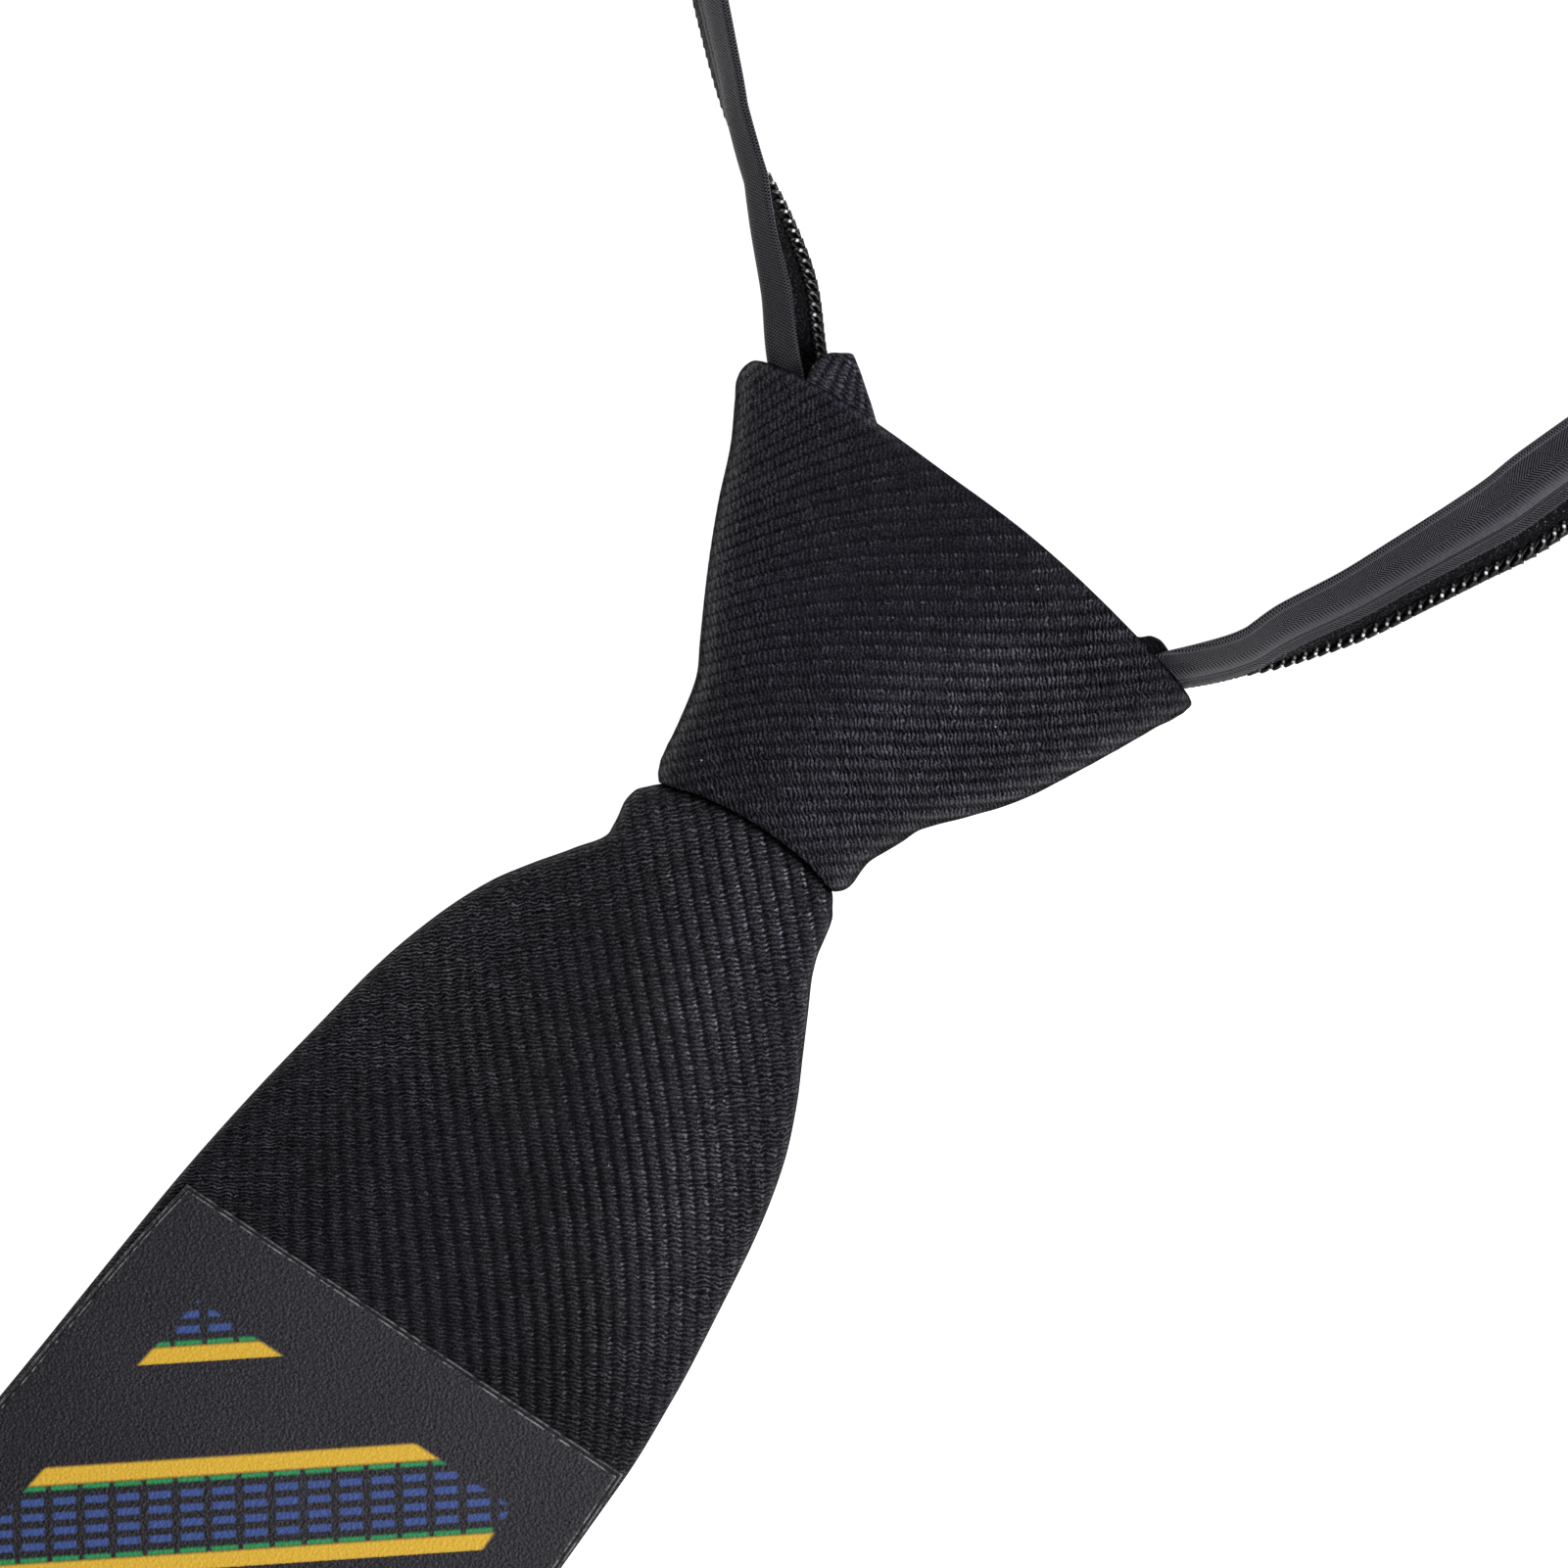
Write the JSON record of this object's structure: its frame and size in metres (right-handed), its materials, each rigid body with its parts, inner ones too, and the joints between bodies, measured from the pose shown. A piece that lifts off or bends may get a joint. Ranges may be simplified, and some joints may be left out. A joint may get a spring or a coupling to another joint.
{
  "type": "light-up necktie",
  "caption": "Ready-tied black corded necktie with a printed light panel on its blade and a zip-tape neck strap, lying on its back.",
  "frame": {"origin": "middle of the whole tie's box, on the surface that it lies on", "axes": "+X to the wearer's left as the front is seen (right in the view of the front), +Y from the tip to the neck loop, +Z out of the tie's front"},
  "size_m": [0.1804, 0.6544, 0.0182],
  "materials": {
    "tie_cloth": "black corded rib cloth with a faint sheen",
    "panel_film": "pebbled dark film printed with slanting stripes in yellow, green and blue",
    "zip_tape": "black woven zip tape with a herringbone line",
    "zip_teeth": "shiny black moulded coil",
    "slider_metal": "black painted"
  },
  "bodies": {
    "root": {"knot_wrap": "tie_cloth", "knot_inner_wrap": "tie_cloth", "blade": "tie_cloth", "light_panel": "panel_film", "strap_left": "zip_tape", "strap_right": "zip_tape", "zipper_coil_left": "zip_teeth", "zipper_coil_right": "zip_teeth", "strap_joiner": "zip_tape", "zip_slider": "slider_metal"}
  },
  "joints": []
}
